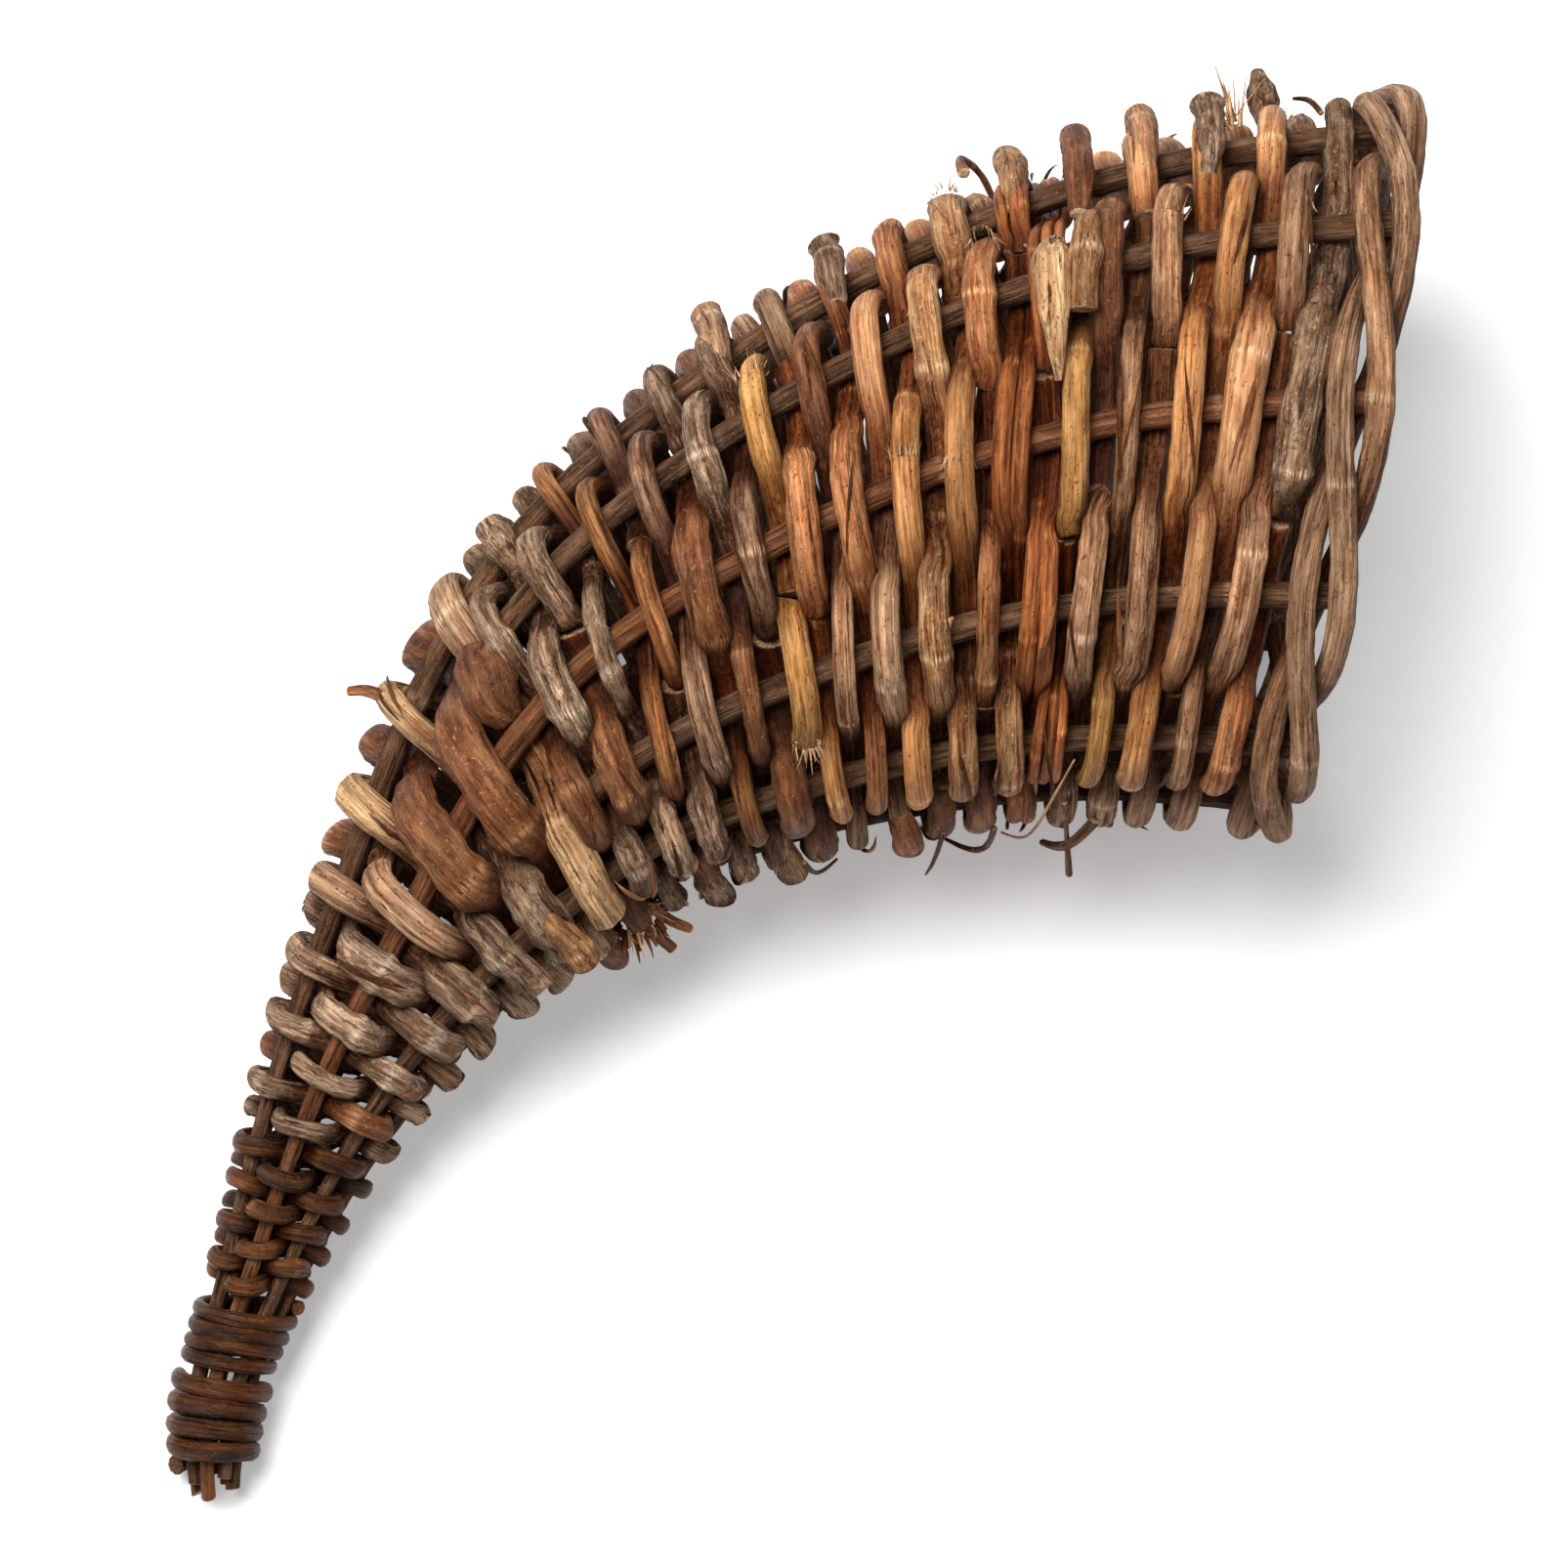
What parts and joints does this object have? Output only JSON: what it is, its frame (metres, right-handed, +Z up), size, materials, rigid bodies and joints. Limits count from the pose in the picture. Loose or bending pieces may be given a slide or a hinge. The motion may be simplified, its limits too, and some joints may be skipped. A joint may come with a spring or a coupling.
{
  "type": "cornucopia basket",
  "caption": "Curved horn basket woven from natural vine canes over running stakes, wide open at the mouth with a three-cane rim and tapering to a bound tail tip",
  "frame": {"origin": "middle of the bounding box's bottom face, on the surface that the basket rests on", "axes": "+Z up with the basket lying on its side, -Y out of the open mouth, +X from the tail tip towards the mouth's outer side"},
  "size_m": [0.2652, 0.1722, 0.1128],
  "materials": {
    "stake_wood": "peeled grey-brown rods, finely ribbed along the grain, dull",
    "dark_rattan": "dark red-brown rattan, slightly glossy",
    "bark_cane": "grey-brown bark with lighter flakes and pale cut ends, matt",
    "rust_cane": "rust-brown vine bark, satin",
    "golden_cane": "golden to tan peeled vine, speckled, satin",
    "ashen_cane": "ashen grey-tan cane with streaks along the grain, matt"
  },
  "bodies": {
    "root": {"bend_weaver_1": "bark_cane", "bend_weaver_2": "bark_cane", "bend_weaver_3": "bark_cane", "bend_weaver_4": "bark_cane", "bend_weaver_5": "bark_cane", "bend_weaver_6": "bark_cane", "bend_weaver_7": "bark_cane", "body_weaver_01": "rust_cane", "body_weaver_02": "rust_cane", "body_weaver_03": "rust_cane", "body_weaver_04": "rust_cane", "body_weaver_05": "rust_cane", "body_weaver_06": "rust_cane", "body_weaver_07": "golden_cane", "body_weaver_08": "golden_cane", "body_weaver_09": "golden_cane", "body_weaver_10": "golden_cane", "body_weaver_11": "golden_cane", "body_weaver_12": "golden_cane", "body_weaver_13": "golden_cane", "body_weaver_14": "golden_cane", "body_weaver_15": "golden_cane", "body_weaver_16": "ashen_cane", "body_weaver_17": "ashen_cane", "body_weaver_18": "ashen_cane", "body_weaver_19": "ashen_cane", "neck_wrap": "dark_rattan", "rim_cane_1": "ashen_cane", "rim_cane_2": "ashen_cane", "rim_cane_3": "ashen_cane", "stake_01": "stake_wood", "stake_02": "stake_wood", "stake_03": "stake_wood", "stake_04": "stake_wood", "stake_05": "stake_wood", "stake_06": "stake_wood", "stake_07": "stake_wood", "stake_08": "stake_wood", "stake_09": "stake_wood", "stake_10": "stake_wood", "stake_11": "stake_wood", "tail_weaver_1": "dark_rattan", "tip_binding": "dark_rattan"}
  },
  "joints": []
}
